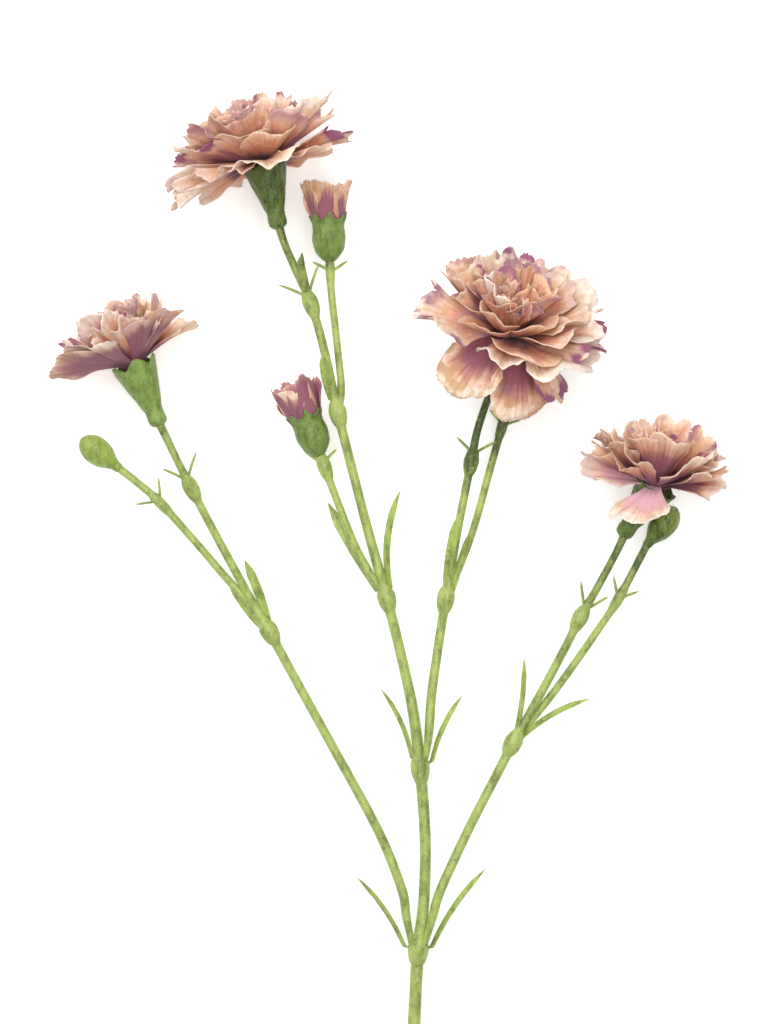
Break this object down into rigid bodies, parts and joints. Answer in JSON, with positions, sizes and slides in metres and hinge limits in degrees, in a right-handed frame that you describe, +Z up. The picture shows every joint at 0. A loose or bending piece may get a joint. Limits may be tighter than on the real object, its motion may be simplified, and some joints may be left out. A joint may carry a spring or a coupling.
{
  "type": "cut spray carnation",
  "caption": "Cut spray carnation lying on a table: a forked leafy stem with ruffled open blooms, opening buds and closed buds.",
  "frame": {"origin": "on the table, under the middle of the spray's bounding box", "axes": "+Z up from the table, +Y up the spray from the cut end to the blooms, +X to the spray's right as seen from above"},
  "size_m": [0.2124, 0.3852, 0.0508],
  "materials": {
    "stem_green": "soft moulded light yellow-green with darker mottling",
    "calyx_green": "soft moulded mid green, darker towards the foot",
    "bud_green": "soft moulded light green with fine ribs",
    "petal_peach": "thin pressed cloth, peach and cream with mauve feet and mauve blotches at the toothed edges"
  },
  "bodies": {
    "root": {"main_stem": "stem_green", "left_stem": "stem_green", "right_stem": "stem_green", "centre_stem": "stem_green", "bud_left": "bud_green", "bud_right": "bud_green", "bud_centre": "bud_green", "bloom_top_calyx": "calyx_green", "bloom_top_petals": "petal_peach", "bloom_centre_calyx": "calyx_green", "bloom_centre_petals": "petal_peach", "bloom_left_calyx": "calyx_green", "bloom_left_petals": "petal_peach", "bloom_right_calyx": "calyx_green", "bloom_right_petals": "petal_peach", "opening_bud_high_calyx": "calyx_green", "opening_bud_high_petals": "petal_peach", "opening_bud_low_calyx": "calyx_green", "opening_bud_low_petals": "petal_peach"}
  },
  "joints": []
}
